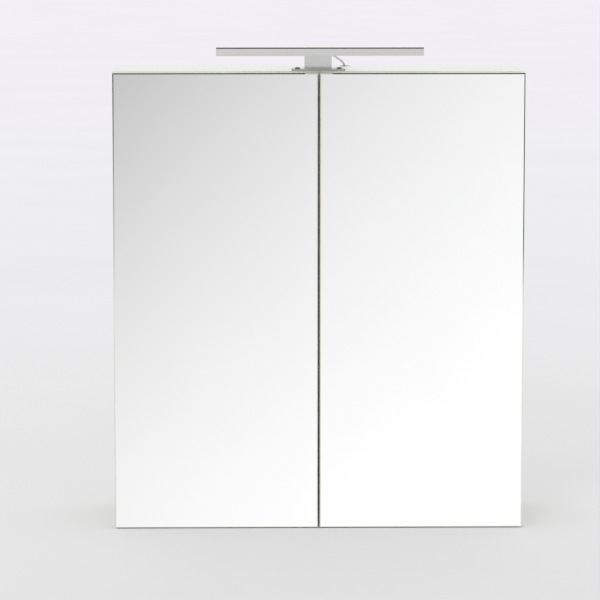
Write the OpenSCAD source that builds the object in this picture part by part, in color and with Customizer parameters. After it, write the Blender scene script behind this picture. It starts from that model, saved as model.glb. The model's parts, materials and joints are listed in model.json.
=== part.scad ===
// Two-door medicine cabinet with mirror doors and a light bar.
// Millimetres. +Z is up, the doors face -Y and the wall is the plane y = 0.
// The origin is on the wall, midway between the two hanging holes.

/* [Cabinet] */
// Width over the side panels
cab_w = 600; // [560:10:800]
// Height of the side panels
cab_h = 670; // [640:10:760]
// Depth from the wall to the mirror face
cab_d = 200; // [190:5:240]
// Thickness of the side, top and bottom boards
board_t = 16; // [16:1:18]
// Thickness of the back board
back_t = 3; // [3:0.5:4]
// Depth of the hollow behind the back board
back_recess = 16; // [16:1:20]

/* [Doors] */
// Thickness of a door board
door_t = 16; // [16:1:19]
// Thickness of the mirror glass
mirror_t = 4; // [3:1:5]
// Thickness of the adhesive tape behind the glass
tape_t = 1; // [1:0.5:1.5]
// Gap between the two doors
door_gap = 2; // [2:0.5:4]
// How far a door stays inside the carcass outline at the side
side_reveal = 1; // [0.5:0.5:2]
// How far a door stays inside the carcass outline at top and bottom
end_reveal = 1; // [1:0.5:3]
// Gap between a closed door and the carcass
door_space = 3; // [3:0.25:3.5]
// How far the glass stays inside the door board's edge
glass_inset = 0.5; // [0.5:0.25:2]
// Distance of each hinge from the door's top and bottom end
hinge_end = 95; // [85:5:120]

/* [Shelves] */
// Thickness of the glass shelves
shelf_t = 6; // [5:1:8]
// Distance of a shelf from the carcass front
shelf_setback = 12; // [8:1:30]
// Height of the lower shelf above the underside of the cabinet
shelf_low_z = 232; // [220:4:260]
// Height of the upper shelf above the underside of the cabinet
shelf_high_z = 448; // [420:4:460]

/* [Hanging] */
// Height of the hanging holes above the underside of the cabinet
hang_h = 620; // [600:5:630]
// Distance between the hanging holes
hang_pitch = 524; // [480:4:524]
// Radius of a hanging hole
hang_r = 5; // [4:0.5:6]

/* [Light bar] */
// Length over the end caps
bar_w = 296; // [250:2:500]
// Height of the bar
bar_h = 12; // [12:1:16]
// Depth of the bar
bar_d = 28; // [26:1:32]
// How far the bar's front stands in front of the mirror face
bar_reach = 62; // [50:2:80]
// Height of the bar's top above the top panel
bar_rise = 38.5; // [38:0.5:50]
// Width of the arm
arm_w = 40; // [36:2:48]
// Thickness of the arm
arm_t = 10; // [9:1:12]

/* [Switch box] */
// Outer width of the box
box_w = 110; // [110:1:114]
// Outer height of the box
box_h = 50; // [50:1:54]
// Outer depth of the box
box_d = 42; // [42:1:44]

/* [Hidden] */
$fn = 48;
SMALL = 24;              // facets of screws and pins in the preview
CUT = 1;                 // how far a cutting shape runs past the face it cuts
slot_w = 0.8;            // width of a screw's cross recess
slot_share = 0.6;        // depth of that recess, as a share of the head's height
slot_reach = 0.55;       // its half length, as a share of the head's radius

half_w = cab_w / 2;
inner_x = half_w - board_t;                       // inner face of the right side panel
door_rear_y = -(cab_d - mirror_t - tape_t - door_t);
front_y = door_rear_y + door_space;               // front edge of the carcass
inner_top_z = cab_h - board_t;                    // underside of the top panel

// Doors, drawn for the left one
door_x0 = -(half_w - side_reveal);
door_x1 = -door_gap / 2;
door_z0 = end_reveal;
door_z1 = cab_h - end_reveal;
door_face_y = door_rear_y - door_t;
glass_rear_y = door_face_y - tape_t;
glass_face_y = glass_rear_y - mirror_t;

// Cup hinge with one pivot
cup_r = 17.5;
cup_wall = 1;
cup_depth = 13;
cup_edge = 3;                                     // board left between cup and door edge
cup_x = door_x0 + cup_edge + cup_r;
pivot_x = cup_x - 13.2;
pivot_y = door_rear_y - 9;
pin_r = 1.25;
pin_play = 0.05;
knuckle_r = 2.5;
knuckle_half = 4.5;
lug_gap = 0.9;
lug_t = 2;
pin_half = knuckle_half + lug_gap + lug_t;
steel_t = 2;                                      // sheet of the hinge arm
leg_x = pivot_x + 10.3;                           // outer face of the arm's leg
plate_t = leg_x + inner_x;                        // mounting plate fills side to leg
arm_end_y = front_y + 62;
channel_y = front_y + 8;                          // where the arm widens to a channel
channel_half = 7;
channel_rise = 6;
plate_mid_y = front_y + 37;
euro_pitch = 32;                                  // the system's screw pitch
hinge_zs = [door_z0 + hinge_end, door_z1 - hinge_end];
arm_screw_ys = [front_y + 22, front_y + 50];
arm_bore_r = 2.5;
cup_screw_x = cup_x + 6;
cup_screw_z = 24;                                 // from the cup's middle, above and below
cup_lip = 1.3;                                    // how far the flange covers the board
flange_t = 1.2;
ear_r = 6;                                        // ends of the flange, around the screws

// Back panel
groove = 6;
groove_play = 0.2;
back_y0 = -(back_recess + back_t);

// Hanging plates
hook_t = 2;
hook_half = 20;
hang_screw_y = -9;
hang_screw_zs = [hang_h - 12, hang_h + 12];

// Shelves and shelf pins
shelf_play = 2;
shelf_corner_r = 3;
pin_peg_r = 2.5;
pin_peg = 8;
pin_post_r = 3.5;
pin_post = 9;
pin_ys = [front_y + 36, -50];
shelf_zs = [shelf_low_z, shelf_high_z];
pin_steps = [-1, 0, 1];

// Knock-down fittings
cam_r = 7.5;
cam_depth = 12.5;
cam_inset = 34;
cam_ys = [front_y + 36, -42];
dowel_r = 4;
cam_bolt_r = 2.5;
cam_bolt_hole = 11;                               // depth of its thread in the side panel
dowel_ys = [front_y + 68, -74];
dowel_in_side = 10;
dowel_in_end = 20;
joint_zs = [board_t / 2, cab_h - board_t / 2];

// Magnetic catches, drawn for the left one
catch_mid_x = -30;
catch_y = front_y + 10;
catch_half = 19;
catch_h = 12;
catch_screw_xs = [catch_mid_x - 14, catch_mid_x + 14];
magnet_half = 8;
magnet_z0 = inner_top_z - 9;
magnet_z1 = inner_top_z - 3;

// Light bar
bar_y0 = -(cab_d + bar_reach);
bar_y1 = bar_y0 + bar_d;
bar_z1 = cab_h + bar_rise;
bar_z0 = bar_z1 - bar_h;
bar_wall = 1.5;
cap_t = 2;
edge_r = 1.2;                                     // round edges of housing and end caps
bar_bevel = 1.6;                                  // flat along their upper front edge
base_w = 78;
base_y0 = front_y + 14;
base_y1 = base_y0 + 44;
base_t = 2.5;
base_screw_x = 30.5;
base_screw_y = base_y0 + 16;
neck_y0 = -130;
neck_y1 = -118;
neck_z0 = cab_h + base_t;
neck_screw_x = 12;
neck_mid_y = (neck_y0 + neck_y1) / 2;
neck_head_z = cab_h + 1.6;                        // where the neck screws' heads end
bar_screw_z = bar_z1 - arm_t / 2 - 1;
small_screw_r = 1.5;
diffuser_t = 2;
led_board_t = 1.2;
led_board_half = 5;
led_count = 24;

// Lamp cable: out of the back of the neck, down through the top panel, along its
// underside and into the switch box
cable_r = 1.5;
cable_sides = 8;
cable_ring = 7;                                   // distance between rings
grommet_x = 42;
grommet_y = -30;
grommet_hole_r = 6;
grommet_bore_r = 4.4;
grommet_lip = 1.5;
grommet_lip_t = 0.6;
cable_run_y = -45;
cable_run_z = inner_top_z - 9;
cable_route = [
    [12, -122, cab_h + 25.4], [12, -116, cab_h + 25.4], [12.9, -109.5, cab_h + 25],
    [15.6, -101.5, cab_h + 23.7], [20.2, -90, cab_h + 21], [25.2, -77.6, cab_h + 17.4],
    [30.1, -65, cab_h + 13.7], [34.4, -53.4, cab_h + 10.4], [37.6, -43.8, cab_h + 7.4],
    [39.6, -36.8, cab_h + 4.9], [41.2, -32.4, cab_h + 1.4], [42, -30.4, cab_h - 4],
    [42, -30, cab_h - 9], [42, -30, cab_h - 14], [43.2, -30.9, cab_h - 19],
    [47.2, -34, cab_h - 23.4], [54.4, -39.2, cab_h - 25], [61.2, -43.2, cab_h - 25],
    [66, -44.8, cab_h - 25], [70, -45, cab_h - 25], [80, -45, cab_h - 25],
    [140, -45, cab_h - 25], [176, -45, cab_h - 25]
];
clip_xs = [75, 135];
clip_half = 4;
clip_pin_r = 1.2;
clip_pin = 8;
clip_pin_y = cable_run_y + 5;

// Switch box
box_x1 = inner_x - 4;
box_x0 = box_x1 - box_w;
box_y1 = back_y0 - 3;
box_y0 = box_y1 - box_d;
box_z0 = inner_top_z - box_h;
box_wall = 2;
cover_t = 3;
cover_lip = 2;
cover_y = box_y0 - cover_t;
device_z = box_z0 + 24;
socket_x = box_x1 - 28;
socket_r = 19.5;
socket_depth = 17;
contact_r = 2.4;
contact_pitch = 19;
rocker_x = box_x0 + 30;
rocker_w = 17.4;
rocker_half = 12.2;
rocker_tilt = 5;
rocker_y = box_y0 + 1.5;                          // the rocker's pivot
rocker_pin_r = 1.5;
rocker_play = 0.4;
rocker_face = 7.2;                                // pivot to the face's upper and lower end
rocker_dip = 1.2;                                 // how far the face is hollowed
driver_x0 = box_x0 + 6;
driver_y0 = box_y0 + 12;
driver_w = 44;
driver_d = 22;
driver_h = box_h - 15;
cover_screw_at = [[box_x0 + 6, box_z0 + 6], [box_x0 + 56, box_z0 + 6],
                  [box_x0 + 6, inner_top_z - 6], [box_x0 + 56, inner_top_z - 6]];
cover_boss_r = 4.2;
box_screw_xs = [box_x0 + 14, box_x1 - 14];
box_screw_y = box_y1 - 7;
mains_x = box_x0 + 56;
mains_r = 5;
mains_hole_r = 8;

// ---- shared shapes ------------------------------------------------------------

// Everything is drawn from the underside up, then hung at the hanging holes
module hung() { translate([0, 0, -hang_h]) children(); }

module both_sides() {
    children();
    mirror([1, 0, 0]) children();
}

// Block between two corners
module block(a, b) { translate(a) cube([b[0] - a[0], b[1] - a[1], b[2] - a[2]]); }

module rod_x(r, x0, x1, y, z) {
    translate([x0, y, z]) rotate([0, 90, 0]) cylinder(r = r, h = x1 - x0);
}

module rod_y(r, y0, y1, x, z) {
    translate([x, y1, z]) rotate([90, 0, 0]) cylinder(r = r, h = y1 - y0);
}

module rod_z(r, z0, z1, x, y) { translate([x, y, z0]) cylinder(r = r, h = z1 - z0); }

// Rectangle with round corners, its arcs kept true
module rounded_rect(w, h, r) {
    translate([r, 0]) square([w - 2 * r, h]);
    translate([0, r]) square([w, h - 2 * r]);
    for (x = [r, w - r], y = [r, h - r]) translate([x, y]) circle(r = r);
}

// Pan head screw pointing along +Z, its head below z = 0, with a cross recess
module pan_screw(shank_r, length, head_r, head_t) {
    difference() {
        union() {
            cylinder(r = shank_r, h = length, $fn = SMALL);
            translate([0, 0, -head_t]) cylinder(r = head_r, h = head_t, $fn = SMALL);
        }
        for (turn = [0, 90]) rotate([0, 0, turn])
            translate([-head_r * slot_reach, -slot_w / 2, -head_t - CUT])
                cube([2 * head_r * slot_reach, slot_w, CUT + head_t * slot_share]);
    }
}

// ---- carcass ------------------------------------------------------------------

// Left side panel; the right one is its mirror image
module side_board() {
    difference() {
        block([-half_w, front_y, 0], [-inner_x, 0, cab_h]);
        block([-inner_x - groove, back_y0 - groove_play / 2, board_t - groove],
              [-inner_x + CUT, -back_recess + groove_play / 2, inner_top_z + groove]);
        for (z = shelf_zs, y = pin_ys, step = pin_steps)
            rod_x(pin_peg_r, -inner_x - pin_peg - 1, -inner_x + CUT, y, z - pin_post_r + step * euro_pitch);
        for (z = joint_zs, y = cam_ys)
            rod_x(cam_bolt_r, -inner_x - cam_bolt_hole, -inner_x + CUT, y, z);
        for (z = joint_zs, y = dowel_ys)
            rod_x(dowel_r, -inner_x - dowel_in_side, -inner_x + CUT, y, z);
        for (z = hinge_zs, side = [-1, 1])
            rod_x(arm_bore_r, -inner_x - 12, -inner_x + CUT, plate_mid_y, z + side * euro_pitch / 2);
        for (z = hang_screw_zs) rod_x(2, -inner_x - 10, -inner_x + CUT, hang_screw_y, z);
    }
}

module side_panel_left() { color("white") hung() side_board(); }
module side_panel_right() { color("white") hung() mirror([1, 0, 0]) side_board(); }

// The bores that a top or bottom panel takes at both ends
module end_bores(mid_z, cam_z0, cam_z1) {
    both_sides() {
        for (y = cam_ys) {
            rod_x(4, -inner_x - CUT, -inner_x + cam_inset, y, mid_z);
            rod_z(cam_r, cam_z0, cam_z1, -inner_x + cam_inset, y);
        }
        for (y = dowel_ys) rod_x(dowel_r, -inner_x - CUT, -inner_x + dowel_in_end, y, mid_z);
    }
}

// Groove that takes the back panel, open towards the inside of the cabinet
module back_groove(z0, z1) {
    block([-inner_x - CUT, back_y0 - groove_play / 2, z0],
          [inner_x + CUT, -back_recess + groove_play / 2, z1]);
}

module top_panel() {
    color("white") hung() difference() {
        block([-inner_x, front_y, inner_top_z], [inner_x, 0, cab_h]);
        end_bores(joint_zs[1], inner_top_z - CUT, inner_top_z + cam_depth);
        back_groove(inner_top_z - CUT, inner_top_z + groove);
        rod_z(grommet_hole_r, inner_top_z - CUT, cab_h + CUT, grommet_x, grommet_y);
        for (side = [-1, 1]) rod_z(2, cab_h - 12, cab_h + CUT, side * base_screw_x, base_screw_y);
        both_sides() for (x = catch_screw_xs)
            rod_z(1.5, inner_top_z - CUT, inner_top_z + 9, x, catch_y);
        for (x = box_screw_xs) rod_z(2, inner_top_z - CUT, inner_top_z + 10, x, box_screw_y);
        for (x = clip_xs) rod_z(clip_pin_r, inner_top_z - CUT, inner_top_z + clip_pin, x, clip_pin_y);
    }
}

module bottom_panel() {
    color("white") hung() difference() {
        block([-inner_x, front_y, 0], [inner_x, 0, board_t]);
        end_bores(joint_zs[0], -CUT, cam_depth);
        back_groove(board_t - groove, board_t + CUT);
    }
}

module back_panel() {
    edge = groove - 0.5;
    color("whitesmoke") hung() difference() {
        block([-inner_x - edge, back_y0, board_t - edge],
              [inner_x + edge, -back_recess, inner_top_z + edge]);
        rod_y(mains_hole_r, back_y0 - CUT, -back_recess + CUT, mains_x, device_z);
    }
}

// ---- shelves and the fittings that hold the boards ------------------------------

module shelf(z) {
    depth = back_y0 - 2 * shelf_play - front_y - shelf_setback;
    translate([-inner_x + shelf_play, front_y + shelf_setback, z]) linear_extrude(shelf_t)
        rounded_rect(2 * (inner_x - shelf_play), depth, shelf_corner_r);
}

module shelf_lower() { color("lightcyan", 0.4) hung() shelf(shelf_low_z); }
module shelf_upper() { color("lightcyan", 0.4) hung() shelf(shelf_high_z); }

// A peg in the side panel and a post under the glass, on each side of each shelf
module shelf_pins() {
    color("silver") hung() both_sides() for (z = shelf_zs, y = pin_ys) {
        rod_x(pin_peg_r, -inner_x - pin_peg, -inner_x, y, z - pin_post_r);
        rod_x(pin_post_r, -inner_x, -inner_x + pin_post, y, z - pin_post_r);
    }
}

// Round cams that pull the bolt heads in; a slot at the side lets the bolt in
module cam_locks() {
    color("silver") hung() both_sides() for (y = cam_ys, top = [0, 1]) {
        mid = joint_zs[top];
        out_z = top == 1 ? inner_top_z : 0;
        translate([-inner_x + cam_inset, y, out_z]) difference() {
            cylinder(r = cam_r, h = cam_depth);
            translate([-cam_r - CUT, -3.8, mid - out_z - 3.8]) cube([cam_r + CUT + 3, 7.6, 7.6]);
            for (turn = [0, 90]) rotate([0, 0, turn])
                translate([-4, -0.6, -CUT]) cube([8, 1.2, CUT + 2.5]);
        }
    }
}

module cam_bolts() {
    reach = cam_inset - 2;
    color("gainsboro") hung() both_sides() for (z = joint_zs, y = cam_ys) {
        rod_x(cam_bolt_r, -inner_x - cam_bolt_hole, -inner_x, y, z);
        rod_x(3.5, -inner_x, -inner_x + 20, y, z);
        rod_x(2, -inner_x + 20, -inner_x + reach, y, z);
        rod_x(3.4, -inner_x + reach - 2, -inner_x + reach + 1.5, y, z);
    }
}

module dowels() {
    color("burlywood") hung() both_sides() for (z = joint_zs, y = dowel_ys)
        rod_x(dowel_r, -inner_x - dowel_in_side, -inner_x + dowel_in_end, y, z);
}

// ---- hanging hardware -----------------------------------------------------------

// Angle plate: one leg screwed to the side panel, the other flat on the wall side
module hanging_plates() {
    hole_x = -hang_pitch / 2;
    color("silver") hung() both_sides() difference() {
        union() {
            block([-inner_x, -hook_t, hang_h - hook_half], [hole_x + 16, 0, hang_h + hook_half]);
            block([-inner_x, 1 - back_recess, hang_h - hook_half],
                  [-inner_x + hook_t, 0, hang_h + hook_half]);
        }
        rod_y(hang_r, -hook_t - CUT, CUT, hole_x, hang_h);
        for (z = hang_screw_zs) rod_x(2, -inner_x - CUT, -inner_x + hook_t + CUT, hang_screw_y, z);
    }
}

module hanging_screws() {
    color("dimgray") hung() both_sides() for (z = hang_screw_zs)
        translate([-inner_x + hook_t, hang_screw_y, z]) rotate([0, -90, 0]) pan_screw(2, 12, 3.8, 2);
}

// ---- magnetic catches under the top panel ---------------------------------------

module magnet_catch_housings() {
    color("white") hung() both_sides() difference() {
        block([catch_mid_x - catch_half, front_y + 1, inner_top_z - catch_h],
              [catch_mid_x + catch_half, front_y + 18, inner_top_z]);
        block([catch_mid_x - magnet_half, front_y - CUT, magnet_z0],
              [catch_mid_x + magnet_half, front_y + 14, magnet_z1]);
        for (x = catch_screw_xs) {
            rod_z(small_screw_r, inner_top_z - catch_h - CUT, inner_top_z + CUT, x, catch_y);
            rod_z(3, inner_top_z - catch_h - CUT, inner_top_z - 8, x, catch_y);
        }
    }
}

module catch_magnets() {
    color("dimgray") hung() both_sides()
        block([catch_mid_x - magnet_half, front_y - 1.4, magnet_z0],
              [catch_mid_x + magnet_half, front_y + 14, magnet_z1]);
}

module catch_screws() {
    color("silver") hung() both_sides() for (x = catch_screw_xs)
        translate([x, catch_y, inner_top_z - 8]) pan_screw(small_screw_r, 17, 2.8, 1.8);
}

// ---- hinges: the half that stays on the carcass ----------------------------------

// Goose-neck arm of the left side: knuckle in the cup, web, leg and channel
module hinge_arm(z) {
    difference() {
        union() {
            rod_z(knuckle_r, z - knuckle_half, z + knuckle_half, pivot_x, pivot_y);
            block([pivot_x, pivot_y - steel_t / 2, z - knuckle_half],
                  [leg_x + steel_t, pivot_y + steel_t / 2, z + knuckle_half]);
            block([leg_x, pivot_y - steel_t / 2, z - knuckle_half],
                  [leg_x + steel_t, channel_y + CUT, z + knuckle_half]);
            block([leg_x, channel_y, z - channel_half], [leg_x + steel_t, arm_end_y, z + channel_half]);
            for (side = [-1, 1]) translate([0, 0, z + side * (channel_half - steel_t / 2)])
                block([leg_x, channel_y, -steel_t / 2],
                      [leg_x + steel_t + channel_rise, arm_end_y, steel_t / 2]);
        }
        rod_z(pin_r + pin_play, z - knuckle_half - CUT, z + knuckle_half + CUT, pivot_x, pivot_y);
        for (y = arm_screw_ys) rod_x(arm_bore_r, leg_x - CUT, leg_x + steel_t + CUT, y, z);
    }
}

module hinge_arms() { color("silver") hung() both_sides() for (z = hinge_zs) hinge_arm(z); }

// Cross-shaped mounting plate between the side panel and the arm
module hinge_plates() {
    color("gainsboro") hung() both_sides() for (z = hinge_zs) difference() {
        translate([-inner_x, plate_mid_y, z]) rotate([0, 90, 0]) linear_extrude(plate_t) union() {
            translate([-channel_half, channel_y - plate_mid_y])
                square([2 * channel_half, arm_end_y - channel_y]);
            translate([-euro_pitch / 2, -8]) square([euro_pitch, 16]);
            for (side = [-1, 1]) translate([side * euro_pitch / 2, 0]) circle(r = 8);
        }
        for (side = [-1, 1]) translate([0, 0, z + side * euro_pitch / 2])
            rod_x(arm_bore_r, -inner_x - CUT, -inner_x + plate_t + CUT, plate_mid_y, 0);
        for (y = arm_screw_ys) rod_x(arm_bore_r, -inner_x - CUT, -inner_x + plate_t + CUT, y, z);
    }
}

module hinge_plate_screws() {
    color("silver") hung() both_sides() for (z = hinge_zs, side = [-1, 1])
        translate([-inner_x + plate_t, plate_mid_y, z + side * euro_pitch / 2])
            rotate([0, -90, 0]) pan_screw(arm_bore_r, plate_t + 12, 4, 1.8);
}

module arm_screws(y) {
    both_sides() for (z = hinge_zs) translate([leg_x + steel_t, y, z])
        rotate([0, -90, 0]) pan_screw(arm_bore_r, steel_t + plate_t, 4, 2.4);
}

module hinge_fixing_screws() { color("silver") hung() arm_screws(arm_screw_ys[1]); }
module hinge_adjusting_screws() { color("dimgray") hung() arm_screws(arm_screw_ys[0]); }

// ---- light bar --------------------------------------------------------------------

module lamp_base() {
    color("silver") hung() difference() {
        translate([-base_w / 2, base_y0, cab_h]) linear_extrude(base_t)
            rounded_rect(base_w, base_y1 - base_y0, 5);
        for (side = [-1, 1]) {
            rod_z(2, cab_h - CUT, neck_z0 + CUT, side * base_screw_x, base_screw_y);
            rod_z(small_screw_r, cab_h - CUT, neck_z0 + CUT, side * neck_screw_x, neck_mid_y);
            rod_z(3, cab_h - CUT, neck_head_z, side * neck_screw_x, neck_mid_y);
        }
    }
}

module lamp_base_screws() {
    color("dimgray") hung() for (side = [-1, 1])
        translate([side * base_screw_x, base_screw_y, neck_z0])
            rotate([180, 0, 0]) pan_screw(2, base_t + 12, 3.8, 2.2);
}

// Angle arm: up from the base plate, then forward to the bar, round at the bend
module lamp_arm() {
    bend = 10;
    exit = cable_route[0];
    color("silver") hung() difference() {
        translate([arm_w / 2, 0, 0]) rotate([0, -90, 0]) linear_extrude(arm_w) union() {
            translate([neck_z0, neck_y0]) square([bar_z1 - bend - neck_z0, neck_y1 - neck_y0]);
            translate([bar_z1 - arm_t, bar_y1]) square([arm_t, neck_y1 - bend - bar_y1]);
            intersection() {
                translate([bar_z1 - bend, neck_y1 - bend]) circle(r = bend);
                translate([bar_z1 - bend, neck_y1 - bend]) square(bend);
            }
            translate([bar_z1 - arm_t, neck_y0]) square([arm_t, 2]);
        }
        for (side = [-1, 1]) {
            rod_z(small_screw_r, neck_z0 - CUT, neck_z0 + 10, side * neck_screw_x, neck_mid_y);
            rod_y(small_screw_r, bar_y1 - CUT, bar_y1 + 10, side * neck_screw_x, bar_screw_z);
        }
        rod_y(cable_r, exit[1], neck_y1 + CUT, exit[0], exit[2]);
    }
}

module lamp_neck_screws() {
    color("silver") hung() for (side = [-1, 1])
        translate([side * neck_screw_x, neck_mid_y, neck_head_z])
            pan_screw(small_screw_r, neck_z0 - neck_head_z + 9, 2.8, 1.5);
}

// Section of the bar, with a flat along its upper front edge
module bar_section() {
    intersection() {
        rounded_rect(bar_d, bar_h, edge_r);
        polygon([[0, 0], [bar_d, 0], [bar_d, bar_h], [bar_bevel, bar_h], [0, bar_h - bar_bevel]]);
    }
}

// Channel open at the underside
module lamp_housing() {
    length = bar_w - 2 * cap_t;
    color("silver") hung() difference() {
        translate([-length / 2, bar_y0, bar_z0]) rotate([90, 0, 90]) linear_extrude(length)
            bar_section();
        block([-length / 2 - CUT, bar_y0 + bar_wall, bar_z0 - CUT],
              [length / 2 + CUT, bar_y1 - bar_wall, bar_z1 - bar_wall]);
        for (side = [-1, 1])
            rod_y(small_screw_r, bar_y1 - bar_wall - CUT, bar_y1 + CUT, side * neck_screw_x, bar_screw_z);
    }
}

module lamp_bar_screws() {
    color("silver") hung() for (side = [-1, 1])
        translate([side * neck_screw_x, bar_y1 - bar_wall, bar_screw_z])
            rotate([-90, 0, 0]) pan_screw(small_screw_r, bar_wall + 9, 2.4, 1.6);
}

module end_cap(x) {
    translate([x, bar_y0, bar_z0]) rotate([90, 0, 90]) linear_extrude(cap_t)
        bar_section();
}

module lamp_end_cap_left() { color("silver") hung() end_cap(-bar_w / 2); }
module lamp_end_cap_right() { color("silver") hung() end_cap(bar_w / 2 - cap_t); }

module lamp_diffuser() {
    half = bar_w / 2 - cap_t;
    color("ivory") hung()
        block([-half, bar_y0 + bar_wall, bar_z0], [half, bar_y1 - bar_wall, bar_z0 + diffuser_t]);
}

module lamp_led_board() {
    half = bar_w / 2 - cap_t - 4;
    mid = (bar_y0 + bar_y1) / 2;
    top = bar_z1 - bar_wall;
    color("white") hung()
        block([-half, mid - led_board_half, top - led_board_t], [half, mid + led_board_half, top]);
}

module lamp_leds() {
    pitch = (bar_w - 2 * cap_t - 20) / (led_count - 1);
    chip = [3.5, 2.8, 0.8];
    mid_y = (bar_y0 + bar_y1) / 2;
    mid_z = bar_z1 - bar_wall - led_board_t - chip[2] / 2;
    color("gold") hung() for (i = [0 : led_count - 1])
        translate([(i - (led_count - 1) / 2) * pitch, mid_y, mid_z]) cube(chip, center = true);
}

// ---- lamp cable -------------------------------------------------------------------

// Catmull-Rom point between route points a and b
function spline(p, a, b, q, t) =
    0.5 * ((2 * a) + (b - p) * t + (2 * p - 5 * a + 4 * b - q) * t * t
           + (3 * a - p - 3 * b + q) * t * t * t);

function smooth_route(pts) = [
    for (i = [0 : len(pts) - 2])
        let (n = max(1, round(norm(pts[i + 1] - pts[i]) / cable_ring)))
        for (k = [0 : n - 1])
            spline(pts[max(i - 1, 0)], pts[i], pts[i + 1], pts[min(i + 2, len(pts) - 1)], k / n),
    pts[len(pts) - 1]
];

function unit(v) = v / norm(v);
function tangents(pts) = [
    for (i = [0 : len(pts) - 1])
        unit(pts[min(i + 1, len(pts) - 1)] - pts[max(i - 1, 0)])
];

// A ring's first direction, carried along the route without twist
function carry(dirs, i, side) =
    i == len(dirs) ? []
    : let (s = unit(side - (side * dirs[i]) * dirs[i])) concat([s], carry(dirs, i + 1, s));

module sweep_tube(pts, r, sides) {
    dirs = tangents(pts);
    across = carry(dirs, 0, [1, 0, 0]);
    n = len(pts);
    rings = [
        for (i = [0 : n - 1], k = [0 : sides - 1])
            let (a = 360 * k / sides)
            pts[i] + r * (cos(a) * across[i] + sin(a) * cross(dirs[i], across[i]))
    ];
    walls = [
        for (i = [0 : n - 2], k = [0 : sides - 1])
            let (a = i * sides + k, b = i * sides + (k + 1) % sides)
            [a, b, b + sides, a + sides]
    ];
    ends = [[for (k = [sides - 1 : -1 : 0]) k], [for (k = [0 : sides - 1]) (n - 1) * sides + k]];
    outward = [for (f = concat(walls, ends)) [for (j = [len(f) - 1 : -1 : 0]) f[j]]];
    polyhedron(points = rings, faces = outward);
}

module lamp_cable() {
    color("darkgray") hung() sweep_tube(smooth_route(cable_route), cable_r, cable_sides);
}

// Ring through the top panel with a thin collar on top
module cable_grommet() {
    color("gray") hung() difference() {
        union() {
            rod_z(grommet_hole_r, inner_top_z, cab_h, grommet_x, grommet_y);
            rod_z(grommet_hole_r + grommet_lip, cab_h, cab_h + grommet_lip_t, grommet_x, grommet_y);
        }
        rod_z(grommet_bore_r, inner_top_z - CUT, cab_h + grommet_lip_t + CUT, grommet_x, grommet_y);
    }
}

// Blocks pinned under the top panel that the cable passes through
module cable_clips() {
    color("white") hung() for (x = clip_xs) difference() {
        union() {
            block([x - clip_half, cable_run_y - clip_half, cable_run_z - clip_half],
                  [x + clip_half, clip_pin_y + clip_half, inner_top_z]);
            rod_z(clip_pin_r, inner_top_z, inner_top_z + clip_pin, x, clip_pin_y);
        }
        rod_x(cable_r + 0.1, x - clip_half - CUT, x + clip_half + CUT, cable_run_y, cable_run_z);
    }
}

// ---- switch and socket box ---------------------------------------------------------

module switch_box() {
    color("white") hung() difference() {
        union() {
            difference() {
                block([box_x0, box_y0, box_z0], [box_x1, box_y1, inner_top_z]);
                block([box_x0 + box_wall, box_y0 - CUT, box_z0 + box_wall],
                      [box_x1 - box_wall, box_y1 - box_wall, inner_top_z - box_wall]);
            }
            for (at = cover_screw_at) rod_y(cover_boss_r, box_y0, box_y0 + 10, at[0], at[1]);
        }
        for (at = cover_screw_at) rod_y(small_screw_r, box_y0 - CUT, box_y0 + 8, at[0], at[1]);
        for (x = box_screw_xs) rod_z(2, inner_top_z - box_wall - CUT, inner_top_z + CUT, x, box_screw_y);
        rod_x(cable_r + 0.3, box_x0 - CUT, box_x0 + box_wall + CUT, cable_run_y, cable_run_z);
        rod_y(mains_r + 1, box_y1 - box_wall - CUT, box_y1 + CUT, mains_x, device_z);
    }
}

// Front plate with the socket hole, the rocker window and two cheeks for the rocker
module switch_box_cover() {
    win_w = rocker_w + 2 * rocker_play;
    win_half = rocker_half + 1;
    color("white") hung() difference() {
        union() {
            translate([box_x0 - cover_lip, box_y0, box_z0 - cover_lip]) rotate([90, 0, 0])
                linear_extrude(cover_t) rounded_rect(box_w + 2 * cover_lip, box_h + cover_lip - 0.5, 2);
            for (side = [-1, 1]) translate([rocker_x + side * (win_w / 2 + 1.5), 0, 0])
                block([-1.5, box_y0 - CUT, device_z - 5], [1.5, rocker_y + 4, device_z + 5]);
        }
        rod_y(socket_r, cover_y - CUT, box_y0 + CUT, socket_x, device_z);
        block([rocker_x - win_w / 2, cover_y - CUT, device_z - win_half],
              [rocker_x + win_w / 2, box_y0 + CUT, device_z + win_half]);
        rod_x(rocker_pin_r + pin_play, rocker_x - win_w / 2 - 4, rocker_x + win_w / 2 + 4,
              rocker_y, device_z);
        for (at = cover_screw_at) rod_y(small_screw_r, cover_y - CUT, box_y0 + CUT, at[0], at[1]);
    }
}

module cover_screws() {
    color("silver") hung() for (at = cover_screw_at)
        translate([at[0], cover_y, at[1]])
            rotate([-90, 0, 0]) pan_screw(small_screw_r, cover_t + 8, 2.8, 1.4);
}

module box_screws() {
    color("silver") hung() for (x = box_screw_xs)
        translate([x, box_screw_y, inner_top_z - box_wall]) pan_screw(2, box_wall + 10, 3.6, 2);
}

// Round recess for a plug, with two contact holes in its floor
module socket_insert() {
    back_y = box_y0 + socket_depth;
    floor_y = back_y - 2;
    color("white") hung() difference() {
        rod_y(socket_r + 1.5, box_y0, back_y, socket_x, device_z);
        rod_y(socket_r, box_y0 - CUT, floor_y, socket_x, device_z);
        for (side = [-1, 1])
            rod_y(contact_r, floor_y - CUT, back_y + CUT, socket_x + side * contact_pitch / 2, device_z);
    }
}

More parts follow.
